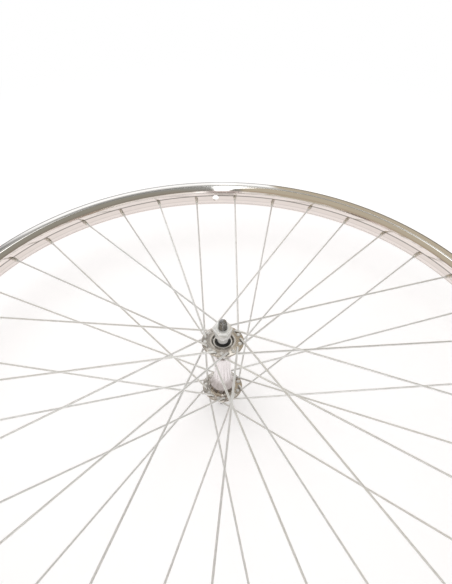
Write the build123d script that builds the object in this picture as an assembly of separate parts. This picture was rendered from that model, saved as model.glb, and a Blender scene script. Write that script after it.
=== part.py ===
# Spoked front bicycle wheel: a rim, 36 crossed spokes and a cup-and-cone hub on a solid axle.
# Millimetres. The wheel lies flat: the axle is the Z axis, the origin is the middle of the axle,
# and the valve hole is on the +Y side of the rim. Upper parts are on +Z, lower parts on -Z.
from build123d import *
import math
import os

# Rim section
BEAD_SEAT_DIAMETER = 590.0
LIP_HEIGHT = 6.0
RIM_HEIGHT = 16.0
RIM_WIDTH = 28.6
SPOKE_BED_WIDTH = 6.2
SHOULDER_ANGLE = 15.0
SIDE_CORNER_RADIUS = 7.0
SIDE_WALL = 1.9
BED_WALL = 2.2
LIP_CHAMFER = 0.5
BEAD_SEAT_WIDTH = 3.4
BEAD_SEAT_WALL_SLOPE = 24.0

# Drillings in the rim
VALVE_HOLE_DIAMETER = 8.5
RIM_HOLE_STAGGER = 1.0
NIPPLE_HOLE_CLEARANCE = 0.15

# Lacing
SPOKE_COUNT = 36
CROSSINGS = 3
SPOKE_DIAMETER = 2.0
ELBOW_RADIUS = 1.6
ELBOW_OFFSET = 2.6
SPOKE_HEAD_DIAMETER = 3.6
SPOKE_HEAD_THICKNESS = 1.0
SPOKE_HOLE_CLEARANCE = 0.25
THREAD_ENGAGEMENT = 9.5

# Nipples
NIPPLE_DIAMETER = 4.0
NIPPLE_LENGTH = 12.0
NIPPLE_HEAD_DIAMETER = 6.2
NIPPLE_HEAD_CYLINDER = 1.2
NIPPLE_FLATS = 3.4
NIPPLE_FLAT_LENGTH = 5.5
NIPPLE_BORE_CLEARANCE = 0.05

# Hub shell
FLANGE_SPACING = 64.4
HOLE_CIRCLE_DIAMETER = 32.2
FLANGE_DIAMETER = 39.0
FLANGE_ROOT_THICKNESS = 2.6
FLANGE_EDGE_THICKNESS = 1.6
FLANGE_ROOT_RADIUS = 12.0
BARREL_DIAMETER = 16.0
BARREL_STRAIGHT = 30.0
SHELL_BORE = 11.0
POCKET_DIAMETER = 18.2
POCKET_CHAMFER = 0.7

# Bearings
BALL_DIAMETER = 3.97
BALL_COUNT = 9
BALL_PITCH_DIAMETER = 12.4
RACE_CLEARANCE = 0.05
CUP_FLOOR = 1.4
CUP_RIM = 0.9

# Dust caps and seals
DUST_CAP_HEIGHT = 4.0
DUST_CAP_GAP = 0.2
DUST_CAP_RECESS = 1.0
DUST_CAP_SHEET = 0.6
DUST_CAP_OPENING = 14.8
SEAL_HEIGHT = 1.8
SEAL_RECESS = 0.5
SEAL_CLEARANCE = 0.25

# Axle, cones and nuts
AXLE_END_DIAMETER = 7.94
AXLE_DIAMETER = 7.4
AXLE_LENGTH = 116.0
AXLE_CHAMFER = 0.8
AXLE_END_RELIEF = 0.3
HUB_WIDTH = 100.0
THREAD_CLEARANCE = 0.03
CONE_FOOT_DIAMETER = 11.6
CONE_NECK_DIAMETER = 9.6
CONE_HEAD_DIAMETER = 14.4
CONE_FLATS = 13.0
CONE_FLAT_LENGTH = 3.5
CONE_EDGE_ANGLE = 20.0
LOCKNUT_FLATS = 15.0
LOCKNUT_THICKNESS = 5.0
LOCKNUT_CHAMFER = 0.5
WASHER_DIAMETER = 14.4
WASHER_THICKNESS = 1.2

# Radii and heights that follow from the sizes above
RIM_OUTER_RADIUS = BEAD_SEAT_DIAMETER / 2 + LIP_HEIGHT
BED_RADIUS = RIM_OUTER_RADIUS - RIM_HEIGHT
NIPPLE_SEAT_RADIUS = BED_RADIUS + BED_WALL
FLANGE_HEIGHT = FLANGE_SPACING / 2
HOLE_CIRCLE_RADIUS = HOLE_CIRCLE_DIAMETER / 2
SHELL_END = FLANGE_HEIGHT + FLANGE_ROOT_THICKNESS / 2
BALL_RADIUS = BALL_DIAMETER / 2
PITCH_RADIUS = BALL_PITCH_DIAMETER / 2
RACE_RADIUS = BALL_RADIUS + RACE_CLEARANCE
DUST_CAP_TOP = SHELL_END - DUST_CAP_RECESS
DUST_CAP_FOOT = DUST_CAP_TOP - DUST_CAP_HEIGHT
SEAL_TOP = DUST_CAP_TOP - SEAL_RECESS
SEAL_FOOT = SEAL_TOP - SEAL_HEIGHT
CUP_TOP = DUST_CAP_FOOT - DUST_CAP_GAP
BALL_HEIGHT = CUP_TOP - CUP_RIM
CUP_BOTTOM = BALL_HEIGHT - RACE_RADIUS - CUP_FLOOR
AXLE_BORE_RADIUS = AXLE_DIAMETER / 2 + THREAD_CLEARANCE
LOCKNUT_BASE = HUB_WIDTH / 2 - LOCKNUT_THICKNESS
CONE_TOP = LOCKNUT_BASE - WASHER_THICKNESS
SPOKE_STEP = 360.0 / SPOKE_COUNT
HUB_STEP = 2 * SPOKE_STEP
CROSS_ANGLE = CROSSINGS * HUB_STEP


def ring(points, corners=(), radius=0.0):
    """A solid of revolution about Z from a closed outline of (radius, height) points.

    The outline's corners at the given points are rounded with the given radius.
    """
    section = make_face(Polyline(*points, close=True))
    if corners:
        picked = [v for v in section.vertices() if any(math.dist((v.X, v.Y), c) < 1e-6 for c in corners)]
        section = fillet(picked, radius)
    return revolve(Plane.XZ * section, Axis.Z)


def mirrored(solid):
    """The same solid for the lower end of the hub."""
    return mirror(solid, Plane.XY)


def make_rim_blank():
    """The rolled ring: flat sides, sloping shoulders, a narrow spoke bed and an open tyre channel."""
    half = RIM_WIDTH / 2
    bed_half = SPOKE_BED_WIDTH / 2
    shoulder_rise = (half - bed_half) * math.tan(math.radians(SHOULDER_ANGLE))
    inside = half - SIDE_WALL
    seat_radius = BEAD_SEAT_DIAMETER / 2
    well_edge = inside - BEAD_SEAT_WIDTH
    well_depth = seat_radius - NIPPLE_SEAT_RADIUS
    well_half = well_edge - well_depth * math.tan(math.radians(BEAD_SEAT_WALL_SLOPE))
    side_corner = (BED_RADIUS + shoulder_rise, half)
    upper = [
        (BED_RADIUS, bed_half),
        side_corner,
        (RIM_OUTER_RADIUS - LIP_CHAMFER, half),
        (RIM_OUTER_RADIUS, half - LIP_CHAMFER),
        (RIM_OUTER_RADIUS, inside + LIP_CHAMFER),
        (RIM_OUTER_RADIUS - LIP_CHAMFER, inside),
        (seat_radius, inside),
        (seat_radius, well_edge),
        (NIPPLE_SEAT_RADIUS, well_half),
    ]
    lower = [(r, -z) for r, z in reversed(upper)]
    corners = [side_corner, (side_corner[0], -half)]
    return ring(upper + lower, corners, SIDE_CORNER_RADIUS)


def turned(angle):
    """A placement turned clockwise about the axle, seen from the upper side."""
    return Rot(0, 0, -angle)


class SpokeLine:
    """One spoke of the repeating group of four, laid out beside the valve hole.

    index: 0 to 3, the place in the group, counted clockwise from the valve hole.
    """

    def __init__(self, index):
        self.side = 1 if index % 2 == 0 else -1
        lead = 1 if index < 2 else -1
        outside = 1 if lead * self.side < 0 else -1
        rim_angle = math.radians((index + 0.5) * SPOKE_STEP)
        hub_angle = rim_angle + math.radians(lead * CROSS_ANGLE)
        hub_x = HOLE_CIRCLE_RADIUS * math.sin(hub_angle)
        hub_y = HOLE_CIRCLE_RADIUS * math.cos(hub_angle)
        self.hole = Vector(hub_x, hub_y, self.side * FLANGE_HEIGHT)
        self.outward = Vector(0, 0, self.side * outside)
        self.corner = self.hole + self.outward * ELBOW_OFFSET
        seat_x = NIPPLE_SEAT_RADIUS * math.sin(rim_angle)
        seat_y = NIPPLE_SEAT_RADIUS * math.cos(rim_angle)
        self.seat = Vector(seat_x, seat_y, self.side * RIM_HOLE_STAGGER)
        self.run = (self.seat - self.corner).normalized()
        radial = Vector(math.sin(rim_angle), math.cos(rim_angle), 0)
        self.slant = math.acos(self.run.dot(radial))

    def rim_plane(self):
        """A plane at the nipple's seat, with its Z along the spoke, pointing out of the wheel."""
        return Plane(self.seat, z_dir=self.run)


def flange_half_thickness(radius):
    """Half the flange's thickness at a radius, on its straight taper from root to edge."""
    span = FLANGE_DIAMETER / 2 - FLANGE_ROOT_RADIUS
    share = (radius - FLANGE_ROOT_RADIUS) / span
    return (FLANGE_ROOT_THICKNESS + share * (FLANGE_EDGE_THICKNESS - FLANGE_ROOT_THICKNESS)) / 2


def make_spoke(line):
    """A spoke: a head behind the flange, an elbow through its hole and a straight run to the nipple."""
    seat = flange_half_thickness(HOLE_CIRCLE_RADIUS - SPOKE_HEAD_DIAMETER / 2)
    under_head = line.hole - line.outward * seat
    tip = line.seat - line.run * (NIPPLE_LENGTH - nipple_head_height() - THREAD_ENGAGEMENT)
    path = FilletPolyline(under_head, line.corner, tip, radius=ELBOW_RADIUS)
    shank = sweep(Plane(under_head, z_dir=line.outward) * Circle(SPOKE_DIAMETER / 2), path=path)
    head_plane = Plane(under_head, z_dir=-line.outward)
    head = head_plane * extrude(Circle(SPOKE_HEAD_DIAMETER / 2), SPOKE_HEAD_THICKNESS, taper=20)
    return shank + head


def nipple_head_height():
    """The height of a nipple's head: its cone under the rim's seat and its short cylinder."""
    return (NIPPLE_HEAD_DIAMETER - NIPPLE_DIAMETER) / 2 + NIPPLE_HEAD_CYLINDER


def make_nipple(line):
    """A nipple: a coned head in the tyre channel, a round neck through the rim and a body with flats."""
    bore = SPOKE_DIAMETER / 2 + NIPPLE_BORE_CLEARANCE
    body = NIPPLE_DIAMETER / 2
    head = NIPPLE_HEAD_DIAMETER / 2
    foot = nipple_head_height() - NIPPLE_LENGTH
    drop = NIPPLE_HOLE_CLEARANCE - (body + 2 * NIPPLE_HOLE_CLEARANCE) * math.tan(line.slant)
    outline = [
        (bore, foot - drop),
        (body, foot - drop),
        (body, -drop),
        (head, head - body - drop),
        (head, nipple_head_height() - drop),
        (bore, nipple_head_height() - drop),
    ]
    turned_blank = ring(outline)
    flats = Box(NIPPLE_FLATS, NIPPLE_FLATS, NIPPLE_FLAT_LENGTH)
    sleeve = Cylinder(NIPPLE_DIAMETER, NIPPLE_FLAT_LENGTH) - flats
    nipple = turned_blank - Pos(0, 0, foot - drop + NIPPLE_FLAT_LENGTH / 2) * sleeve
    return line.rim_plane().location * nipple


def rim_hole(line):
    """The tool for one spoke hole, drilled along the spoke's own slant."""
    radius = NIPPLE_DIAMETER / 2 + NIPPLE_HOLE_CLEARANCE
    return line.rim_plane().location * Cylinder(radius, 4 * BED_WALL)


def flange_hole(line):
    """The tool for one spoke hole through the hub flange."""
    radius = SPOKE_DIAMETER / 2 + SPOKE_HOLE_CLEARANCE
    return Pos(line.hole) * Cylinder(radius, 2 * FLANGE_ROOT_THICKNESS)


def around(tools):
    """Each tool of the group of four, repeated around the wheel in the order of the spokes."""
    groups = SPOKE_COUNT // len(tools)
    return [turned(group * len(tools) * SPOKE_STEP) * tool for group in range(groups) for tool in tools]


def make_rim(lines):
    """The rim with its spoke holes and valve hole."""
    tools = around([rim_hole(line) for line in lines])
    valve = Pos(0, NIPPLE_SEAT_RADIUS, 0) * Rot(90, 0, 0) * Cylinder(VALVE_HOLE_DIAMETER / 2, 6 * BED_WALL)
    return make_rim_blank() - (tools + [valve])


def make_hub_shell(lines):
    """The hub shell: a waisted barrel, two tapered flanges and a pocket for a bearing at each end."""
    edge = FLANGE_DIAMETER / 2
    root_low = FLANGE_HEIGHT - FLANGE_ROOT_THICKNESS / 2
    edge_low = FLANGE_HEIGHT - FLANGE_EDGE_THICKNESS / 2
    edge_high = FLANGE_HEIGHT + FLANGE_EDGE_THICKNESS / 2
    pocket = POCKET_DIAMETER / 2
    outer = [
        (BARREL_DIAMETER / 2, BARREL_STRAIGHT / 2),
        (FLANGE_ROOT_RADIUS, CUP_BOTTOM),
        (FLANGE_ROOT_RADIUS, root_low),
        (edge, edge_low),
        (edge, edge_high),
        (FLANGE_ROOT_RADIUS, SHELL_END),
        (pocket + POCKET_CHAMFER, SHELL_END),
        (pocket, SHELL_END - POCKET_CHAMFER),
        (pocket, CUP_BOTTOM),
        (SHELL_BORE / 2, CUP_BOTTOM),
    ]
    blank = ring(outer + [(r, -z) for r, z in reversed(outer)])
    return blank - around([flange_hole(line) for line in lines])


def race_point(angle):
    """A point on the race's circle around a ball, at an angle measured from outward towards upward."""
    turn = math.radians(angle)
    return (PITCH_RADIUS + RACE_RADIUS * math.cos(turn), BALL_HEIGHT + RACE_RADIUS * math.sin(turn))


def race_ring(points, start, end):
    """A ring whose outline runs along the race from one angle to another, then through the points."""
    middle = race_point((start + end) / 2)
    race = ThreePointArc(race_point(start), middle, race_point(end))
    back = Polyline(race_point(end), *points, race_point(start))
    return revolve(Plane.XZ * make_face(race + back), Axis.Z)


def make_bearing_cup():
    """The upper cup: a ring pressed into the shell, with a quarter-round race."""
    pocket = POCKET_DIAMETER / 2
    lip = race_point(0)[0]
    points = [(PITCH_RADIUS, CUP_BOTTOM), (pocket, CUP_BOTTOM), (pocket, CUP_TOP), (lip, CUP_TOP)]
    return race_ring(points, 0, -90)


def make_cone():
    """The upper cone: a race at its foot, a neck for the seal and a wide head with two spanner flats."""
    start = 180 - CONE_EDGE_ANGLE
    end = 90 + CONE_EDGE_ANGLE
    foot = CONE_FOOT_DIAMETER / 2
    neck = CONE_NECK_DIAMETER / 2
    head = CONE_HEAD_DIAMETER / 2
    head_base = CONE_TOP - CONE_FLAT_LENGTH
    points = [
        (foot, race_point(end)[1]),
        (foot, SEAL_FOOT),
        (neck, SEAL_FOOT),
        (neck, head_base),
        (head, head_base),
        (head, CONE_TOP),
        (AXLE_BORE_RADIUS, CONE_TOP),
        (AXLE_BORE_RADIUS, race_point(start)[1]),
    ]
    sleeve = race_ring(points, start, end)
    jaw = Box(CONE_HEAD_DIAMETER, CONE_FLATS, CONE_FLAT_LENGTH)
    cheek = Cylinder(CONE_HEAD_DIAMETER, CONE_FLAT_LENGTH) - jaw
    return sleeve - Pos(0, 0, CONE_TOP - CONE_FLAT_LENGTH / 2) * cheek


def make_balls():
    """The upper ring of balls, each a solid of its own."""
    ball = Sphere(BALL_RADIUS)
    places = PolarLocations(PITCH_RADIUS, BALL_COUNT)
    return [Pos(0, 0, BALL_HEIGHT) * Pos(place.position) * ball for place in places]


def make_dust_cap():
    """The upper dust cap: a pressed ring with a wall in the pocket and a flat lip around the cone."""
    wall = POCKET_DIAMETER / 2
    opening = DUST_CAP_OPENING / 2
    lip_foot = DUST_CAP_TOP - DUST_CAP_SHEET
    points = [
        (wall - DUST_CAP_SHEET, DUST_CAP_FOOT),
        (wall, DUST_CAP_FOOT),
        (wall, DUST_CAP_TOP),
        (opening, DUST_CAP_TOP),
        (opening, lip_foot),
        (wall - DUST_CAP_SHEET, lip_foot),
    ]
    return ring(points)


def make_dust_seal():
    """The upper seal: a soft ring gripped by the cone, with a lip that clears the dust cap."""
    grip = CONE_NECK_DIAMETER / 2
    lip = DUST_CAP_OPENING / 2 - SEAL_CLEARANCE
    mid = (SEAL_TOP + SEAL_FOOT) / 2
    bead = (grip + lip) / 2
    points = [(grip, SEAL_FOOT), (bead, SEAL_FOOT), (lip, mid), (lip, SEAL_TOP), (grip, SEAL_TOP)]
    return ring(points)


def make_lock_washer():
    """The upper lock washer, between the cone and the locknut."""
    outer = WASHER_DIAMETER / 2
    points = [
        (AXLE_BORE_RADIUS, CONE_TOP),
        (outer, CONE_TOP),
        (outer, LOCKNUT_BASE),
        (AXLE_BORE_RADIUS, LOCKNUT_BASE),
    ]
    return ring(points)


def make_locknut():
    """The upper locknut: a hexagon with its outer corners turned off at a slope."""
    across_corners = LOCKNUT_FLATS / math.cos(math.radians(30))
    prism = extrude(RegularPolygon(across_corners / 2, 6), LOCKNUT_THICKNESS)
    turned_blank = extrude(Circle(across_corners / 2), LOCKNUT_THICKNESS)
    turned_blank = chamfer(turned_blank.faces().sort_by(Axis.Z)[-1].edges(), LOCKNUT_CHAMFER, 2 * LOCKNUT_CHAMFER)
    bore = Cylinder(AXLE_BORE_RADIUS, 3 * LOCKNUT_THICKNESS)
    return Pos(0, 0, LOCKNUT_BASE) * ((prism & turned_blank) - bore)


def make_axle():
    """The solid axle: at its thread's mid depth in the nuts and cones, at full size on its free ends."""
    tip = AXLE_LENGTH / 2
    shoulder = HUB_WIDTH / 2 + AXLE_END_RELIEF
    end = AXLE_END_DIAMETER / 2
    upper = [
        (AXLE_DIAMETER / 2, shoulder),
        (end, shoulder),
        (end, tip - AXLE_CHAMFER),
        (end - AXLE_CHAMFER, tip),
        (0, tip),
    ]
    return ring([(r, -z) for r, z in reversed(upper)] + upper)


def build():
    """All pieces, as a dictionary from node name to a list of solids."""
    lines = [SpokeLine(index) for index in range(4)]
    pieces = {
        "rim": [make_rim(lines)],
        "hub_shell": [make_hub_shell(lines)],
        "axle": [make_axle()],
        "spoke_nipples": around([make_nipple(line) for line in lines]),
    }
    for number, spoke in enumerate(around([make_spoke(line) for line in lines]), start=1):
        pieces[f"spoke_{number:02d}"] = [spoke]
    ends = {
        "bearing_cup": [make_bearing_cup()],
        "bearing_balls": make_balls(),
        "dust_cap": [make_dust_cap()],
        "dust_seal": [make_dust_seal()],
        "cone": [make_cone()],
        "lock_washer": [make_lock_washer()],
        "locknut": [make_locknut()],
    }
    for name, solids in ends.items():
        pieces[f"{name}_upper"] = solids
        pieces[f"{name}_lower"] = [mirrored(solid) for solid in solids]
    return pieces


def main():
    """Write each piece to its own file."""
    os.makedirs("parts", exist_ok=True)
    for name, solids in build().items():
        shape = solids[0] if len(solids) == 1 else Compound(children=solids)
        export_step(shape, f"parts/{name}.step")


if __name__ == "__main__":
    main()
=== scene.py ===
"""Front bicycle wheel, dressed: polished rim, crossed spokes and cup-and-cone hub in a plain pale studio."""
import logging
import math
from dataclasses import dataclass
from enum import Enum
from typing import Callable, ClassVar, Sequence, Union

import bmesh
import bpy
from mathutils import Matrix, Vector


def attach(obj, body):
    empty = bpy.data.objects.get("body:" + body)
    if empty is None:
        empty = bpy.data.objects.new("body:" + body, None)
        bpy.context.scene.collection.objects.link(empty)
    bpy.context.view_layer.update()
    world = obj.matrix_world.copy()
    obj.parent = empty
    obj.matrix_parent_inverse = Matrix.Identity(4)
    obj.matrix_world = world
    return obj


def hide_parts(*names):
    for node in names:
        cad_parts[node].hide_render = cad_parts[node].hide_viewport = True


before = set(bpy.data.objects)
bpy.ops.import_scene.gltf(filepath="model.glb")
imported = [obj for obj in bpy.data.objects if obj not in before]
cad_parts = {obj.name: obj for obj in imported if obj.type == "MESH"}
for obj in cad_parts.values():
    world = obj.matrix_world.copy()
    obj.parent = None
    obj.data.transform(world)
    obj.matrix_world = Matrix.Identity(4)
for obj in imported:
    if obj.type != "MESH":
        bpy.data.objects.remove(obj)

LOG = logging.getLogger("wheel")
MM = 0.001
FULL_TURN = 360.0
UP = Vector((0, 0, 1))
Point = tuple[float, float]
Colour = tuple[float, float, float]
Piece = bpy.types.Object
Value = Union["Sock", int, float]
Paint = Union["Sock", Colour]


class Body(Enum):
    """The moving groups that a piece can ride on."""

    AXLE = "axle_set"
    WHEEL = "wheel"


class Grain(Enum):
    """How a finish was worked, which sets the direction of its fine lines."""

    TURNED = "lines around the axle"
    DRAWN = "fine streaks"
    PLATED = "cloudy plating"
    MOULDED = "matt skin"


class End(Enum):
    """The two ends of the hub."""

    UPPER = "upper"
    LOWER = "lower"

    @property
    def turn(self) -> Matrix:
        """The turn that takes an upper piece to this end."""
        return Matrix.Identity(4) if self is End.UPPER else Matrix.Rotation(math.pi, 4, "X")


# Hand operations on meshes that every piece shares

def rest() -> None:
    """Leave edit mode and deselect everything."""
    if bpy.context.object and bpy.context.object.mode != "OBJECT":
        bpy.ops.object.mode_set(mode="OBJECT")
    bpy.ops.object.select_all(action="DESELECT")


def take(piece: Piece) -> None:
    """Make one piece the only selected and active one.

    Args:
        piece: The piece to take.
    """
    rest()
    piece.select_set(True)
    bpy.context.view_layer.objects.active = piece


def edit(piece: Piece) -> None:
    """Open a piece in edit mode with all of it selected.

    Args:
        piece: The piece to open.
    """
    take(piece)
    bpy.ops.object.mode_set(mode="EDIT")
    bpy.ops.mesh.select_mode(type="VERT")
    bpy.ops.mesh.select_all(action="SELECT")


def named(name: str) -> Piece:
    """Name the piece just added and put its place into its mesh.

    Args:
        name: The piece's name.

    Returns:
        The piece.
    """
    piece = bpy.context.object
    piece.name = name
    piece.data.name = name
    bpy.ops.object.transform_apply(location=True, rotation=True, scale=True)
    return piece


def pick(piece: Piece, test: Callable[[bmesh.types.BMFace], bool]) -> None:
    """Select only the faces that pass a test, in edit mode.

    Args:
        piece: The piece that is open in edit mode.
        test: Says whether a face is wanted.
    """
    bpy.ops.mesh.select_all(action="DESELECT")
    bpy.ops.mesh.select_mode(type="FACE")
    mesh = bmesh.from_edit_mesh(piece.data)
    for face in mesh.faces:
        face.select_set(bool(test(face)))
    bmesh.update_edit_mesh(piece.data)


def push(step: Vector, scale: float = 1.0, centre: Vector | None = None) -> None:
    """Extrude the selection and widen or narrow its new end.

    Args:
        step: How far the new end moves, in metres.
        scale: How much wider the new end is.
        centre: The point that it widens about, where it widens.
    """
    bpy.ops.mesh.extrude_region_move(TRANSFORM_OT_translate={"value": tuple(step)})
    if centre is not None:
        bpy.ops.transform.resize(value=(scale,) * 3, center_override=tuple(centre))


def tidy(piece: Piece) -> None:
    """Merge doubles and turn every face outwards.

    Args:
        piece: The piece to clean.
    """
    edit(piece)
    bpy.ops.mesh.remove_doubles(threshold=1e-6)
    bpy.ops.mesh.normals_make_consistent(inside=False)
    rest()


def modify(piece: Piece, kind: str, **settings: object) -> None:
    """Add a modifier with its settings and apply it.

    Args:
        piece: The piece to change.
        kind: The modifier's type.
        **settings: The modifier's values by name.
    """
    take(piece)
    modifier = piece.modifiers.new(kind.lower(), kind)
    for name, value in settings.items():
        setattr(modifier, name, value)
    bpy.ops.object.modifier_apply(modifier=modifier.name)


def soften(piece: Piece, width: float, angle: float = 40.0) -> None:
    """Round the sharp edges of a piece.

    Args:
        piece: The piece to round.
        width: The width of the rounding, in mm.
        angle: Edges sharper than this many degrees are rounded.
    """
    modify(piece, "BEVEL", width=width * MM, segments=2, limit_method="ANGLE",
           angle_limit=math.radians(angle), use_clamp_overlap=True)


def cut(piece: Piece, tools: Sequence[Piece], operation: str = "DIFFERENCE") -> None:
    """Cut a piece with tools, which are then thrown away.

    Args:
        piece: The piece to cut.
        tools: Closed meshes, joined into one before the cut.
        operation: The boolean operation.
    """
    tool = join("tool", tools)
    modify(piece, "BOOLEAN", object=tool, operation=operation, solver="EXACT")
    bpy.data.meshes.remove(tool.data)


def facet(piece: Piece) -> None:
    """Split faces with many sides into even triangles.

    Args:
        piece: The piece whose faces are split.
    """
    edit(piece)
    bpy.ops.mesh.dissolve_degenerate(threshold=1e-7)
    bpy.ops.mesh.select_mode(type="FACE")
    bpy.ops.mesh.select_face_by_sides(number=4, type="GREATER", extend=False)
    bpy.ops.mesh.quads_convert_to_tris(quad_method="BEAUTY", ngon_method="BEAUTY")
    rest()


def join(name: str, pieces: Sequence[Piece]) -> Piece:
    """Join pieces into the first of them.

    Args:
        name: The joined piece's name.
        pieces: The pieces to join.

    Returns:
        The joined piece.
    """
    take(pieces[0])
    for piece in pieces[1:]:
        piece.select_set(True)
    if len(pieces) > 1:
        bpy.ops.object.join()
    pieces[0].name = name
    pieces[0].data.name = name
    return pieces[0]


def copy(piece: Piece, name: str, place: Matrix) -> Piece:
    """A copy of a piece with its own mesh.

    Args:
        piece: The piece to copy.
        name: The copy's name.
        place: The move that is put into the copy's mesh.

    Returns:
        The copy, at the origin.
    """
    made = bpy.data.objects.new(name, piece.data.copy())
    made.data.name = name
    made.data.transform(place)
    bpy.context.scene.collection.objects.link(made)
    return made


def smooth(piece: Piece, angle: float = 30.0) -> Piece:
    """Shade a piece smooth, apart from its sharper edges.

    Args:
        piece: The piece to shade.
        angle: Edges sharper than this many degrees stay sharp.

    Returns:
        The same piece.
    """
    take(piece)
    bpy.ops.object.shade_smooth_by_angle(angle=math.radians(angle))
    return piece


def rod(radius: float, length: float, middle: Vector, along: Vector, sides: int) -> Piece:
    """A plain rod, as a tool or as the start of a piece.

    Args:
        radius: Its radius in mm.
        length: Its length in mm.
        middle: Its middle in mm.
        along: The direction of its axis.
        sides: How many sides it has.

    Returns:
        The rod, with its place in its mesh.
    """
    rest()
    turn = along.to_track_quat("Z", "Y").to_euler()
    bpy.ops.mesh.primitive_cylinder_add(vertices=sides, radius=radius * MM, depth=length * MM,
                                        location=middle * MM, rotation=turn)
    return named("rod")


def outline(name: str, points: Sequence[Point], closed: bool = True) -> Piece:
    """A wire in the XZ plane, drawn point by point from a single vertex.

    Args:
        name: The piece's name.
        points: Radius and height of each point, in mm.
        closed: Whether the last point joins the first.

    Returns:
        The wire, left open in edit mode with all of it selected.
    """
    rest()
    bpy.ops.mesh.primitive_plane_add(size=MM)
    piece = named(name)
    edit(piece)
    bpy.ops.mesh.merge(type="CENTER")
    bpy.ops.transform.translate(value=(points[0][0] * MM, 0, points[0][1] * MM))
    for before, after in zip(points, points[1:]):
        step = ((after[0] - before[0]) * MM, 0, (after[1] - before[1]) * MM)
        bpy.ops.mesh.extrude_vertices_move(TRANSFORM_OT_translate={"value": step})
    bpy.ops.mesh.select_all(action="SELECT")
    if closed:
        bpy.ops.mesh.edge_face_add()
        bpy.ops.mesh.delete(type="ONLY_FACE")
        bpy.ops.mesh.select_all(action="SELECT")
    return piece


def lathe(name: str, points: Sequence[Point], steps: int = 96, closed: bool = True) -> Piece:
    """A piece turned about the axle from an outline.

    Args:
        name: The piece's name.
        points: Radius and height of each point of the outline, in mm.
        steps: How many steps the turn has.
        closed: Whether the outline is a closed loop.

    Returns:
        The turned piece.
    """
    piece = outline(name, points, closed)
    bpy.ops.mesh.spin(steps=steps, angle=2 * math.pi, center=(0, 0, 0), axis=UP)
    tidy(piece)
    return piece


def rounded(points: Sequence[Point], radii: dict[int, float], steps: int) -> list[Point]:
    """A closed outline with some corners replaced by arcs.

    Args:
        points: The corners.
        radii: The arc's radius for each rounded corner, by the corner's index.
        steps: How many pieces each arc has.

    Returns:
        The outline with its arcs.
    """
    made: list[Point] = []
    count = len(points)
    for index, corner in enumerate(points):
        if index not in radii:
            made.append(corner)
            continue
        here = Vector(corner)
        back = (Vector(points[index - 1]) - here).normalized()
        ahead = (Vector(points[(index + 1) % count]) - here).normalized()
        half = back.angle(ahead) / 2
        centre = here + (back + ahead).normalized() * radii[index] / math.sin(half)
        start = here + back * radii[index] / math.tan(half) - centre
        end = here + ahead * radii[index] / math.tan(half) - centre
        sweep = start.angle_signed(end)
        for step in range(steps + 1):
            spot = centre + Matrix.Rotation(-sweep * step / steps, 2) @ start
            made.append((spot.x, spot.y))
    return made


def both_halves(upper: Sequence[Point], radii: dict[int, float], steps: int) -> list[Point]:
    """A rounded outline that is the same above and below the wheel's middle.

    Args:
        upper: The corners of the upper half.
        radii: The arc's radius for each rounded corner of the upper half, by its index.
        steps: How many pieces each arc has.

    Returns:
        The whole outline with its arcs.
    """
    whole = [*upper, *((radius, -z) for radius, z in reversed(upper))]
    lower = {len(whole) - 1 - index: radius for index, radius in radii.items()}
    return rounded(whole, radii | lower, steps)


class Sock:
    """A shader socket that takes part in Python expressions."""

    def __init__(self, graph: "Graph", socket: bpy.types.NodeSocket) -> None:
        """Wrap a socket of a graph."""
        self.graph = graph
        self.socket = socket

    def _math(self, operation: str, *values: Value) -> "Sock":
        """A Math node on numbers and sockets."""
        return self.graph.node("ShaderNodeMath", {"operation": operation}, dict(enumerate(values)))

    def __add__(self, other: Value) -> "Sock":
        """Add."""
        return self._math("ADD", self, other)

    def __sub__(self, other: Value) -> "Sock":
        """Subtract."""
        return self._math("SUBTRACT", self, other)

    def __rsub__(self, other: Value) -> "Sock":
        """Subtract from a number."""
        return self._math("SUBTRACT", other, self)

    def __mul__(self, other: Value) -> "Sock":
        """Multiply."""
        return self._math("MULTIPLY", self, other)

    def __mod__(self, other: Value) -> "Sock":
        """What is left after whole steps."""
        return self._math("MODULO", self, other)

    def __abs__(self) -> "Sock":
        """The size without its sign."""
        return self._math("ABSOLUTE", self)

    def angle_from(self, other: "Sock") -> "Sock":
        """The angle of this and another coordinate, in degrees."""
        return self._math("ARCTAN2", self, other) * (180 / math.pi)

    def length_with(self, other: "Sock") -> "Sock":
        """The length of two coordinates taken together."""
        return self._math("SQRT", self * self + other * other)

    def ramp(self, low: float, high: float) -> "Sock":
        """A soft step from 0 at one value to 1 at another."""
        return self.graph.node("ShaderNodeMapRange", {"interpolation_type": "SMOOTHSTEP", "clamp": True},
                               {"Value": self, "From Min": low, "From Max": high})

    def band(self, low: float, high: float, soft: float) -> "Sock":
        """1 between two values and 0 outside, with soft sides."""
        edge = soft / 2
        return self.ramp(low - edge, low + edge) * (1 - self.ramp(high - edge, high + edge))

    def past(self, place: float, soft: float) -> "Sock":
        """1 past a place in mm and 0 before it, with a soft step to either side of it."""
        return self.ramp((place - soft) * MM, (place + soft) * MM)

    def strip(self, low: float, high: float, soft: float) -> "Sock":
        """A band between two places in mm."""
        return self.band(low * MM, high * MM, soft * MM)


@dataclass(frozen=True)
class Coat:
    """Dust, dirt or wear over a finish.

    Attributes:
        colour: Its colour.
        share: How much of it shows, from 0 to 1.
    """

    colour: Colour
    share: float


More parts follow.
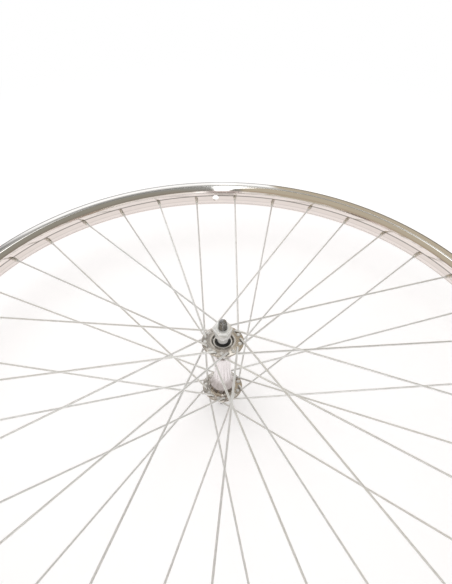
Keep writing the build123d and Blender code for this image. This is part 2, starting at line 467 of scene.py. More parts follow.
class Graph:
    """The node tree of one material or of the world."""

    def __init__(self, owner: bpy.types.Material | bpy.types.World) -> None:
        """Start from an empty tree.

        Args:
            owner: The material or world that the tree belongs to.
        """
        owner.use_nodes = True
        self.tree = owner.node_tree
        self.tree.nodes.clear()

    def node(self, kind: str, settings: dict[str, object] | None = None,
             inputs: dict[object, object] | None = None, output: object = None) -> Sock:
        """Add a node.

        Args:
            kind: The node's type.
            settings: Its own values, set first.
            inputs: Values or sockets by the input's name or number.
            output: The name or number of the wanted output. The first that is on, if not given.

        Returns:
            The wanted output.
        """
        made = self.tree.nodes.new(kind)
        for name, value in (settings or {}).items():
            setattr(made, name, value)
        for name, value in (inputs or {}).items():
            socket = made.inputs[name]
            if isinstance(value, Sock):
                self.tree.links.new(value.socket, socket)
            elif isinstance(value, tuple) and socket.type == "RGBA":
                socket.default_value = (*value, 1.0)
            else:
                socket.default_value = value
        if output is None:
            return Sock(self, next((s for s in made.outputs if s.enabled), None))
        return Sock(self, made.outputs[output])

    def mix(self, share: Value, first: Paint, second: Paint) -> Sock:
        """A blend of two colours, with a share of the second one."""
        return self.node("ShaderNodeMix", {"data_type": "RGBA"}, {0: share, 6: first, 7: second}, 2)

    def lay(self, coat: Coat, where: Sock, colour: Paint) -> Sock:
        """A colour with a coat over it where a mask shows it."""
        return self.mix(where * coat.share, colour, coat.colour)

    def noise(self, where: Sock, scale: float = 1.0, detail: float = 3.0, rough: float = 0.55) -> Sock:
        """Cloudy noise from 0 to 1 at a place."""
        return self.node("ShaderNodeTexNoise", {"noise_dimensions": "3D"},
                         {"Vector": where, "Scale": scale, "Detail": detail, "Roughness": rough}, 0)

    def place(self) -> tuple[Sock, Sock, Sock, Sock]:
        """The object's own coordinates.

        Returns:
            The place as a vector, and its X, Y and Z.
        """
        whole = self.node("ShaderNodeTexCoord", output="Object")
        apart = self.tree.nodes.new("ShaderNodeSeparateXYZ")
        self.tree.links.new(whole.socket, apart.inputs[0])
        return whole, *(Sock(self, socket) for socket in apart.outputs)

    def vector(self, x: Value, y: Value, z: Value) -> Sock:
        """A vector from three numbers."""
        return self.node("ShaderNodeCombineXYZ", None, {0: x, 1: y, 2: z})

    def glow(self, colour: Paint, strength: float = 1.0, kind: str = "Emission") -> Sock:
        """A shader that shines, on a surface or as the world's background."""
        return self.node(f"ShaderNode{kind}", None, {"Color": colour, "Strength": strength})

    def blend(self, share: Sock, first: Sock, second: Sock) -> Sock:
        """A blend of two shaders, with a share of the second one."""
        return self.node("ShaderNodeMixShader", None, {0: share, 1: first, 2: second})

    def end(self, surface: Sock, kind: str = "Material") -> None:
        """Lead a shader to the output of the material or the world."""
        self.node(f"ShaderNodeOutput{kind}", None, {"Surface": surface})


@dataclass(frozen=True)
class Spot:
    """Where on a piece a finish is worked out, in metres.

    Attributes:
        whole: The place as a vector.
        radius: Its distance from the axle's line.
        angle: The way round the axle, in degrees.
        z: Its height above the wheel's middle.
    """

    whole: Sock
    radius: Sock
    angle: Sock
    z: Sock


@dataclass(frozen=True)
class Finish:
    """One surface finish."""

    # The record's material slot, and how the surface was worked
    slot: str
    grain: Grain
    # Its main colour, that of its cloudier places, and its roughness where cleanest and dullest
    base: Colour
    tone: Colour
    polish: Point
    # Fineness of its cloudy places per metre, and 1 for bare metal or 0 for rubber
    cloud: float
    metal: float = 1.0
    # Fineness of its lines per metre, their depth in mm, and how much scratches show from 0 to 1
    line: float = 2500.0
    depth: float = 0.002
    scuff: float = 0.3
    # Noise where clouds, stains and scratches start and where they are full
    CLOUD_EDGE: ClassVar[Point] = (0.38, 0.68)
    STAIN_EDGE: ClassVar[Point] = (0.55, 0.8)
    SCRATCH_EDGE: ClassVar[Point] = (0.66, 0.74)
    # How much finer stains are than clouds, and the tone of scratches beside that of clouds
    STAIN_SIZE: ClassVar[float] = 7.0
    SCRATCH_TONE: ClassVar[float] = 0.75
    # Shares of clouds, lines and stains, heights of lines and scratches, strength of the relief
    WEAR: ClassVar[Colour] = (0.6, 0.25, 0.15)
    RELIEF: ClassVar[Point] = (0.7, -0.6)
    BUMP: ClassVar[float] = 0.6
    # How fast lines and scratches change across and along, per metre, and round, per degree
    TURNING: ClassVar[Point] = (0.02, 0.5)
    TURNED_SCRATCH: ClassVar[float] = 1400.0
    DRAWING: ClassVar[Point] = (60.0, 6.0)
    STRAY: ClassVar[Colour] = (500.0, 900.0, 2.0)

    def material(self) -> bpy.types.Material:
        """Build the finish as a material.

        Returns:
            The material, made once and shared by the pieces that have it.
        """
        name = f"{self.slot}_finish"
        made = bpy.data.materials.get(name)
        if made:
            return made
        made = bpy.data.materials.new(name)
        made.diffuse_color = (*self.base, 1.0)
        graph = Graph(made)
        whole, x, y, z = graph.place()
        spot = Spot(whole, x.length_with(y), x.angle_from(y), z)
        cloud = graph.noise(whole, self.cloud, detail=5.0, rough=0.6).ramp(*self.CLOUD_EDGE)
        stain = graph.noise(whole, self.cloud * self.STAIN_SIZE, detail=2.0).ramp(*self.STAIN_EDGE)
        lines = self._lines(graph, spot)
        scratch = self._scratches(graph, spot)
        worn = cloud * self.WEAR[0] + lines * self.WEAR[1] + stain * self.WEAR[2]
        colour = self.zones(graph, graph.mix(worn, self.base, self.tone), spot)
        colour = graph.mix(scratch * self.scuff, colour, tuple(c * self.SCRATCH_TONE for c in self.tone))
        low, high = self.polish
        dull = (worn + scratch * self.scuff) * (high - low) + low
        height = lines * self.RELIEF[0] + scratch * (self.RELIEF[1] * self.scuff)
        bump = graph.node("ShaderNodeBump", None,
                          {"Strength": self.BUMP, "Distance": self.depth * MM, "Height": height})
        graph.end(graph.node("ShaderNodeBsdfPrincipled", None, {
            "Base Color": colour, "Roughness": dull, "Metallic": self.metal, "Normal": bump}))
        return made

    def zones(self, graph: Graph, colour: Sock, spot: Spot) -> Sock:
        """The colour with any darker zones laid over it, here none."""
        return colour

    def _lines(self, graph: Graph, spot: Spot) -> Sock:
        """The fine lines or skin that the grain leaves.

        Args:
            graph: The material's graph.
            spot: Where the finish is worked out.

        Returns:
            A height from 0 to 1.
        """
        if self.grain is Grain.TURNED:
            run = graph.vector(spot.radius * self.line, spot.z * self.line, spot.angle * self.TURNING[0])
            return graph.noise(run, detail=4.0, rough=0.7)
        if self.grain is Grain.DRAWN:
            across, around = self.DRAWING
            run = graph.vector(spot.radius * across, spot.angle * around, spot.z * self.line)
            return graph.noise(run, rough=0.6)
        if self.grain is Grain.PLATED:
            return graph.node("ShaderNodeTexVoronoi", {"feature": "SMOOTH_F1"},
                              {"Vector": spot.whole, "Scale": self.line}, 0)
        return graph.noise(spot.whole, self.line, detail=4.0, rough=0.7)

    def _scratches(self, graph: Graph, spot: Spot) -> Sock:
        """Thin stray scratches.

        Args:
            graph: The material's graph.
            spot: Where the finish is worked out.

        Returns:
            1 in a scratch and 0 beside it.
        """
        if self.grain is Grain.TURNED:
            fine = self.TURNED_SCRATCH
            run = graph.vector(spot.radius * fine, spot.z * fine, spot.angle * self.TURNING[1])
        else:
            across, along, around = self.STRAY
            run = graph.vector(spot.radius * across, spot.angle * around, spot.z * along)
        return graph.noise(run, detail=1.0, rough=0.4).ramp(*self.SCRATCH_EDGE)


@dataclass(frozen=True)
class RimFinish(Finish):
    """Polished rim with dust and painted shade on its inner faces and spoke bed, painted shade lines along
    the bed and a painted dark line along the lip, in mm.
    """

    # Dust and painted shade on inner faces and bed, painted shade lines along the bed's edge and lower down,
    # and a painted dark line on the lip
    inner_dust_and_shade: Coat = Coat((0.78, 0.70, 0.66), 0.75)
    bed_dust_and_shade: Coat = Coat((0.68, 0.62, 0.58), 0.5)
    bed_shade_lines: Coat = Coat((0.20, 0.185, 0.165), 0.8)
    faint_shade: float = 0.18
    lip: Coat = Coat((0.16, 0.16, 0.155), 0.8)
    # Radius where the inner faces start, and half the width of the bed
    shoulder: float = 287.6
    bed: float = 3.1
    # Heights of the painted shade lines, the first two counted from the bed's edges
    upper_line: Point = (-0.4, 0.9)
    lower_line: Point = (-0.8, 0.4)
    last_line: Point = (-9.6, -8.0)
    # Radius where the painted dark line on the lip starts
    lip_shade_from: float = 299.0

    def zones(self, graph: Graph, colour: Sock, spot: Spot) -> Sock:
        """The colour with dust and painted shade on the inner faces, painted shade lines along the bed and a
        painted dark line along the lip.

        Args:
            graph: The material's graph.
            colour: The polished metal's colour.
            spot: Where the finish is worked out.

        Returns:
            The colour with its zones.
        """
        inside = 1 - spot.radius.past(self.shoulder, soft=0.8)
        bed = inside * (1 - abs(spot.z).past(self.bed, soft=0.3))
        upper, lower = ([edge + offset for offset in line] for edge, line in (
            (self.bed, self.upper_line), (-self.bed, self.lower_line)))
        # Painted shade line along the bed's upper edge
        edge = inside * spot.z.strip(*upper, soft=0.4)
        # Painted faint shade lines along the bed's lower edge and lower down the inner face
        faint_shade = spot.z.strip(*lower, soft=0.4) + spot.z.strip(*self.last_line, soft=0.6)
        # Dust with painted shade over the inner faces, and more of it over the bed
        colour = graph.lay(self.inner_dust_and_shade, inside, colour)
        colour = graph.lay(self.bed_dust_and_shade, bed, colour)
        # Lay the painted shade lines, strong on the upper edge and faint below
        colour = graph.mix(edge * self.bed_shade_lines.share + inside * faint_shade * self.faint_shade, colour, self.bed_shade_lines.colour)
        # Painted dark line along the lip, in place of its shade
        return graph.lay(self.lip, spot.radius.past(self.lip_shade_from, soft=0.4), colour)


@dataclass(frozen=True)
class HubFinish(Finish):
    """Polished barrel with painted shade on its flared ends, duller flanges and a painted ring of shade
    around the dust caps, in mm.
    """

    # Dullness of the flanges, painted shade on the flares, and a painted ring of shade around the dust caps
    dull: Coat = Coat((0.70, 0.66, 0.61), 0.8)
    flare_shade: Coat = Coat((0.44, 0.40, 0.385), 0.9)
    cap_shade_ring: Coat = Coat((0.105, 0.099, 0.0915), 0.85)
    # Height where the flanges start, and heights where the painted shade on the flares starts and is full
    flange: float = 29.0
    flare: Point = (12.0, 19.5)
    # Radius from and to of the painted ring of shade
    cap_shade_radii: Point = (9.0, 10.4)

    def zones(self, graph: Graph, colour: Sock, spot: Spot) -> Sock:
        """The colour with painted shade on the flares, dull flanges and a painted ring of shade.

        Args:
            graph: The material's graph.
            colour: The polished metal's colour.
            spot: Where the finish is worked out.

        Returns:
            The colour with its zones.
        """
        # Painted shade on the flares, darker towards the flanges
        flared = abs(spot.z).ramp(*(height * MM for height in self.flare))
        out = abs(spot.z).past(self.flange, soft=1.5)
        # Painted dark ring of shade round the dust caps, where the gap to the shell lies
        ring = out * spot.radius.strip(*self.cap_shade_radii, soft=0.5)
        colour = graph.lay(self.flare_shade, flared, colour)
        colour = graph.lay(self.dull, out, colour)
        return graph.lay(self.cap_shade_ring, ring, colour)


class Finishes(Enum):
    """Every finish on the wheel."""

    RIM = RimFinish("polished_rim", Grain.TURNED, (0.92, 0.91, 0.895), (0.86, 0.845, 0.825), (0.03, 0.08),
                    cloud=22.0, line=2600.0, depth=0.0002, scuff=0.06)
    HUB = HubFinish("polished_hub", Grain.TURNED, (0.93, 0.89, 0.90), (0.86, 0.815, 0.82), (0.14, 0.26),
                    cloud=140.0, line=3400.0, depth=0.0005, scuff=0.04)
    NIPPLE = Finish("plated_nipple", Grain.PLATED, (0.80, 0.77, 0.72), (0.62, 0.58, 0.52), (0.24, 0.40),
                    cloud=420.0, metal=0.8, line=1800.0, depth=0.004)
    AXLE = Finish("black_axle", Grain.TURNED, (0.27, 0.27, 0.272), (0.36, 0.355, 0.35), (0.22, 0.40),
                  cloud=300.0, metal=0.95, line=2200.0)
    SPOKE = Finish("spoke_steel", Grain.DRAWN, (0.86, 0.86, 0.85), (0.74, 0.735, 0.72), (0.28, 0.44),
                   cloud=160.0, metal=0.6, line=900.0)
    BEARING = Finish("bearing_steel", Grain.PLATED, (0.66, 0.66, 0.66), (0.52, 0.52, 0.53), (0.08, 0.2),
                     cloud=200.0)
    CONE = Finish("bright_cone", Grain.TURNED, (0.98, 0.975, 0.97), (0.93, 0.92, 0.91), (0.16, 0.28),
                  cloud=200.0, metal=0.2, line=3000.0, depth=0.001)
    CAP = Finish("bright_cap", Grain.TURNED, (0.82, 0.81, 0.79), (0.72, 0.705, 0.68), (0.22, 0.34),
                 cloud=220.0, line=3200.0, depth=0.001)
    SEAL = Finish("black_seal", Grain.MOULDED, (0.018, 0.018, 0.019), (0.05, 0.048, 0.045), (0.5, 0.75),
                  cloud=320.0, metal=0.0, line=1600.0, depth=0.03, scuff=0.2)
    NUT = Finish("zinc_nut", Grain.PLATED, (0.92, 0.92, 0.905), (0.82, 0.82, 0.80), (0.26, 0.42),
                 cloud=260.0, metal=0.6, line=1500.0, depth=0.004)


def finished(piece: Piece, body: Body, finish: Finishes, *nodes: str) -> None:
    """Give a piece its finish and seat it on its body.

    Args:
        piece: The finished mesh.
        body: The body that it rides on.
        finish: Its finish.
        *nodes: The solids that it stands for.
    """
    piece.data.materials.clear()
    piece.data.materials.append(finish.value.material())
    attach(piece, body.value)
    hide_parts(*nodes)
    piece.data.calc_loop_triangles()
    LOG.info("%s: %d triangles, %s", piece.name, len(piece.data.loop_triangles), finish.value.slot)


def pair(model: Piece, name: str, body: Body, finish: Finishes, node: str) -> None:
    """Make the two ends' pieces from one upper model, which is then thrown away.

    Args:
        model: The upper piece.
        name: The pieces' name, without the end.
        body: The body that they ride on.
        finish: Their finish.
        node: The solids' name, without the end.
    """
    smooth(model)
    for end in End:
        piece = copy(model, f"{name}_{end.value}", end.turn)
        finished(piece, body, finish, f"{node}_{end.value}")
    bpy.data.meshes.remove(model.data)


@dataclass(frozen=True)
class SpokeRun:
    """One spoke's line, in mm.

    Attributes:
        hole: The middle of its hole in the flange.
        outward: The way that it leaves the hole.
        seat: Its nipple's seat in the rim.
        elbow: Distance from the hole to its elbow's corner.
    """

    hole: Vector
    outward: Vector
    seat: Vector
    elbow: float

    @property
    def corner(self) -> Vector:
        """The corner of the elbow."""
        return self.hole + self.outward * self.elbow

    @property
    def along(self) -> Vector:
        """The direction of the straight run, towards the rim."""
        return (self.seat - self.corner).normalized()

    @property
    def slant(self) -> float:
        """The angle between the run and the rim's own radius."""
        return self.along.angle(Vector((self.seat.x, self.seat.y, 0)))


@dataclass(frozen=True)
class Lacing:
    """Where each spoke leaves the hub and meets the rim, in mm.

    Attributes:
        spokes: How many spokes there are.
        group: After how many spokes the pattern repeats.
        crossings: How many spokes of its own flange each one crosses.
        hole_circle: Radius of the circle of holes in a flange.
        flange: Height of a flange's middle above the wheel's middle.
        elbow: Distance from a flange's middle to a spoke's elbow.
        seat: Radius of the nipples' seats in the rim.
        stagger: How far the holes in the rim lie to either side.
    """

    spokes: int = 36
    group: int = 4
    crossings: int = 3
    hole_circle: float = 16.1
    flange: float = 32.2
    elbow: float = 2.6
    seat: float = 287.2
    stagger: float = 1.0

    @property
    def step(self) -> float:
        """The angle from one spoke to the next at the rim."""
        return 2 * math.pi / self.spokes

    @property
    def runs(self) -> list[SpokeRun]:
        """The lines of all the spokes, clockwise from the valve hole."""
        return [self.run(number) for number in range(self.spokes)]

    def run(self, number: int) -> SpokeRun:
        """The line of one spoke.

        Args:
            number: Its place, counted clockwise from the valve hole.

        Returns:
            The spoke's line.
        """
        place = number % self.group
        side = 1 if place % 2 == 0 else -1
        lead = 1 if place < self.group // 2 else -1
        at_rim = (number + 0.5) * self.step
        at_hub = at_rim + lead * self.crossings * 2 * self.step
        hole, seat = (Vector((radius * math.sin(angle), radius * math.cos(angle), side * height))
                      for radius, angle, height in ((self.hole_circle, at_hub, self.flange),
                                                    (self.seat, at_rim, self.stagger)))
        return SpokeRun(hole, Vector((0, 0, -lead)), seat, self.elbow)


@dataclass
class Rim:
    """The rolled and polished rim, in mm."""

    lacing: Lacing
    # Radii of the outer edge, the spoke bed and the bead seats, and width of a bead seat
    outer: float = 301.0
    bed: float = 285.0
    seat: float = 295.0
    seat_width: float = 3.4
    # Half the width of the rim and of its bed, and thickness of a side wall
    half: float = 14.3
    bed_half: float = 3.1
    wall: float = 1.9
    # Slopes of a shoulder and of a side of the well, in degrees
    shoulder_angle: float = 15.0
    well_angle: float = 24.0
    # Chamfer of a lip, and radius where a side wall turns into its shoulder
    chamfer: float = 0.5
    corner: float = 9.0
    # How far a shoulder swells out, where along it, and how round
    bulge: float = 0.3
    bulge_at: float = 0.45
    bulge_round: float = 30.0
    # Radii of the other corners
    bed_round: float = 0.8
    seat_round: float = 0.8
    well_round: float = 1.2
    # Radii of the spoke holes and the valve hole, and lengths of their drills
    hole: float = 2.15
    hole_drill: float = 8.8
    valve: float = 4.25
    valve_drill: float = 13.2
    # Steps of the ring and of a rounded corner
    steps: int = 432
    arc: int = 14

    def outline(self) -> list[Point]:
        """The section of the rim.

        Returns:
            Radius and height of each point.
        """
        well = self.lacing.seat
        width = self.half - self.bed_half
        rise = width * math.tan(math.radians(self.shoulder_angle))
        inside = self.half - self.wall
        edge = inside - self.seat_width
        floor = edge - (self.seat - well) * math.tan(math.radians(self.well_angle))
        bulge = (self.bed + rise * self.bulge_at - self.bulge, self.bed_half + width * self.bulge_at)
        lip = self.outer - self.chamfer
        upper = [(self.bed, self.bed_half), bulge, (self.bed + rise, self.half), (lip, self.half),
                 (self.outer, self.half - self.chamfer), (self.outer, inside + self.chamfer), (lip, inside),
                 (self.seat, inside), (self.seat, edge), (well, floor)]
        radii = {0: self.bed_round, 1: self.bulge_round, 2: self.corner, 7: self.seat_round,
                 8: self.seat_round, 9: self.well_round}
        return both_halves(upper, radii, self.arc)

    def build(self) -> None:
        """Turn the ring and drill it."""
        ring = lathe("rim_polished", self.outline(), self.steps)
        valve = Vector((0, self.lacing.seat, 0))
        tools = [rod(self.valve, self.valve_drill, valve, valve.normalized(), sides=40)]
        for line in self.lacing.runs:
            tools.append(rod(self.hole, self.hole_drill, line.seat, line.along, sides=20))
        cut(ring, tools)
        facet(ring)
        smooth(ring, angle=24)
        finished(ring, Body.WHEEL, Finishes.RIM, "rim")


@dataclass
class Spokes:
    """The 36 spokes, in mm."""

    lacing: Lacing
    # Radii of the wire and of its elbow, and steps of the elbow
    radius: float = 1.0
    bend: float = 1.6
    bend_steps: int = 8
    # From a hole's middle to the head, the head's radius, and height and narrowing of its steps
    grip: float = 1.147
    head: float = 1.8
    crown: tuple[Point, ...] = ((0.45, 0.97), (0.3, 0.86), (0.25, 0.62))
    # From a nipple's seat back to the spoke's end
    tip: float = 0.2
    # How near the wire's foot a face counts as its end
    reach: float = 0.2
    # How many sides the wire has
    sides: int = 18

    def shape(self, line: SpokeRun, name: str) -> Piece:
        """Bend one spoke along its line.

        Args:
            line: The spoke's line.
            name: The piece's name.

        Returns:
            The spoke.
        """
        out, along = line.outward, line.along
        bend = out.angle(along)
        reach = self.bend * math.tan(bend / 2)
        foot = line.hole - out * self.grip
        start = line.corner - out * reach
        aside = (along - out * out.dot(along)).normalized()
        turn = out.to_track_quat("Z", "Y").to_euler()
        rest()
        bpy.ops.mesh.primitive_circle_add(vertices=self.sides, radius=self.radius * MM, fill_type="NGON",
                                          location=foot * MM, rotation=turn)
        wire = named(name)
        edit(wire)
        push((start - foot) * MM)
        bpy.ops.mesh.spin(steps=self.bend_steps, angle=bend, center=(start + aside * self.bend) * MM,
                          axis=along.cross(out))
        turned = line.corner + along * reach
        push((line.seat - along * self.tip - turned) * MM)
        pick(wire, lambda face: (face.calc_center_median() - foot * MM).length < self.reach * MM)
        push(Vector((0, 0, 0)), self.head / self.radius, foot * MM)
        for height, scale in self.crown:
            foot = foot - out * height
            push(-out * height * MM, scale, foot * MM)
        tidy(wire)
        return smooth(wire, angle=38)

    def build(self) -> None:
        """Bend one spoke of each kind and lay it round the wheel."""
        group = self.lacing.group
        kinds = [self.shape(self.lacing.run(kind), f"spoke_kind_{kind}") for kind in range(group)]
        for number in range(self.lacing.spokes):
            kind = number % group
            turn = Matrix.Rotation(-(number - kind) * self.lacing.step, 4, "Z")
            wire = copy(kinds[kind], f"spoke_wire_{number + 1:02d}", turn)
            finished(wire, Body.WHEEL, Finishes.SPOKE, f"spoke_{number + 1:02d}")
        for kind in kinds:
            bpy.data.meshes.remove(kind.data)


@dataclass
class Nipples:
    """The 36 nipples, in mm."""

    lacing: Lacing
    # Radius of the round neck, length over all, and radius of the head
    radius: float = 2.0
    length: float = 12.0
    head: float = 3.1
    # Height of the crown above the head's cone, its straight share, and narrowing of its top
    crown: float = 1.2
    straight: float = 0.6
    dome: float = 0.8
    # Width over the flats, and their length
    flats: float = 3.4
    flat_length: float = 5.5
    # Radius and depth of the mouth that the spoke enters
    bore: float = 1.08
    mouth: float = 1.2
    # Half the width of the screwdriver slot, and length of its tool
    slot: float = 0.6
    slot_length: float = 7.0
    # Rounding of the edges, and room between a neck and its hole
    edge: float = 0.12
    play: float = 0.15
    # How near the foot a face counts as its end, and how far up or down it must face to be level
    reach: float = 0.1
    level: float = 0.9

    def shank(self, foot: float) -> Piece:
        """The square end that a spoke key turns, with the mouth for the spoke.

        Args:
            foot: Height of its end.

        Returns:
            The shank.
        """
        middle = UP * (foot + self.flat_length / 2)
        shank = rod(self.radius, self.flat_length, middle, UP, sides=32)
        edit(shank)
        for x, y in ((1, 0), (-1, 0), (0, 1), (0, -1)):
            flat = Vector((x, y, 0))
            bpy.ops.mesh.select_all(action="SELECT")
            bpy.ops.mesh.bisect(plane_co=flat * self.flats / 2 * MM, plane_no=flat, use_fill=True,
                                clear_outer=True)
        end = (foot + self.reach) * MM
        pick(shank, lambda face: face.normal.z < -self.level and face.calc_center_median().z < end)
        bpy.ops.mesh.inset(thickness=(self.flats / 2 - self.bore) * MM)
        push(UP * (self.mouth * MM))
        return shank

    def neck(self, length: float) -> Piece:
        """The round neck with the slotted head on it.

        Args:
            length: Length of the neck below the head.

        Returns:
            The neck and head.
        """
        neck = rod(self.radius, length, UP * (-length / 2), UP, sides=24)
        edit(neck)
        pick(neck, lambda face: face.normal.z > self.level)
        top = 0.0
        for rise, scale in ((self.head - self.radius, self.head / self.radius),
                            (self.crown * self.straight, 1.0),
                            (self.crown * (1 - self.straight), self.dome)):
            top += rise
            push(UP * (rise * MM), scale, UP * (top * MM))
        rest()
        cut(neck, [rod(self.slot, self.slot_length, UP * top, Vector((1, 0, 0)), sides=8)])
        return neck

    def build(self) -> None:
        """Make one nipple with the underside of its head at the origin, and seat it in every spoke hole."""
        foot = self.head - self.radius + self.crown - self.length
        model = join("nipple", [self.shank(foot), self.neck(-foot - self.flat_length)])
        soften(model, self.edge, angle=32)
        facet(model)
        made = []
        for number, line in enumerate(self.lacing.runs):
            lift = (self.radius + 2 * self.play) * math.tan(line.slant) - self.play
            place = Matrix.Translation((line.seat + line.along * lift) * MM)
            turn = line.along.to_track_quat("Z", "Y").to_matrix().to_4x4()
            made.append(copy(model, f"nipple_{number}", place @ turn))
        bpy.data.meshes.remove(model.data)
        whole = smooth(join("nipples_plated", made), angle=32)
        finished(whole, Body.WHEEL, Finishes.NIPPLE, "spoke_nipples")


@dataclass
class Hub:
    """The hub shell and its dust caps, in mm."""

    lacing: Lacing
    # Radius of the barrel, and half its straight length
    barrel: float = 8.0
    waist: float = 15.0
    # Radii of a flange's root and edge, and half its thickness there
    root: float = 12.0
    edge: float = 19.5
    root_half: float = 1.3
    edge_half: float = 0.8
    # Radius of a bearing's pocket, its chamfer, the height of its foot, and radius of the bore
    pocket: float = 9.1
    chamfer: float = 0.7
    cup: float = 23.965
    bore: float = 5.5
    # Radii of the corners, from the waist out over the flange to the end
    rounds: tuple[float, ...] = (9.0, 4.0, 1.6, 0.55, 0.55, 1.5, 0.3)
    # Radius of a spoke hole, and length of its drill
    hole: float = 1.25
    drill: float = 5.2
    # Dust cap: radius of its opening, thickness, height, depth in the shell, and its edges
    cap_opening: float = 7.4
    cap_sheet: float = 0.6
    cap_height: float = 4.0
    cap_recess: float = 1.0
    cap_round: float = 0.45
    cap_lip: float = 0.28

    @property
    def end(self) -> float:
        """Height of the shell's end."""
        return self.lacing.flange + self.root_half

    def shell(self) -> None:
        """Turn the shell and drill its flanges."""
        flange, end = self.lacing.flange, self.end
        upper = [(self.barrel, self.waist), (self.root, self.cup), (self.root, flange - self.root_half),
                 (self.edge, flange - self.edge_half), (self.edge, flange + self.edge_half),
                 (self.root, end), (self.pocket + self.chamfer, end), (self.pocket, end - self.chamfer),
                 (self.pocket, self.cup), (self.bore, self.cup)]
        points = both_halves(upper, dict(enumerate(self.rounds)), steps=5)
        shell = lathe("hub_shell_polished", points, steps=144)
        cut(shell, [rod(self.hole, self.drill, line.hole, UP, sides=20) for line in self.lacing.runs])
        smooth(shell, angle=26)
        finished(shell, Body.WHEEL, Finishes.HUB, "hub_shell")

    def caps(self) -> None:
        """Press the dust caps."""
        top = self.end - self.cap_recess
        foot, inside, under = top - self.cap_height, self.pocket - self.cap_sheet, top - self.cap_sheet
        points = [(inside, foot), (self.pocket, foot), (self.pocket, top), (self.cap_opening, top),
                  (self.cap_opening, under), (inside, under)]
        radii = {2: self.cap_round, 3: self.cap_lip, 4: self.cap_lip}
        model = lathe("dust_cap", rounded(points, radii, steps=6))
        pair(model, "dust_cap_bright", Body.WHEEL, Finishes.CAP, "dust_cap")


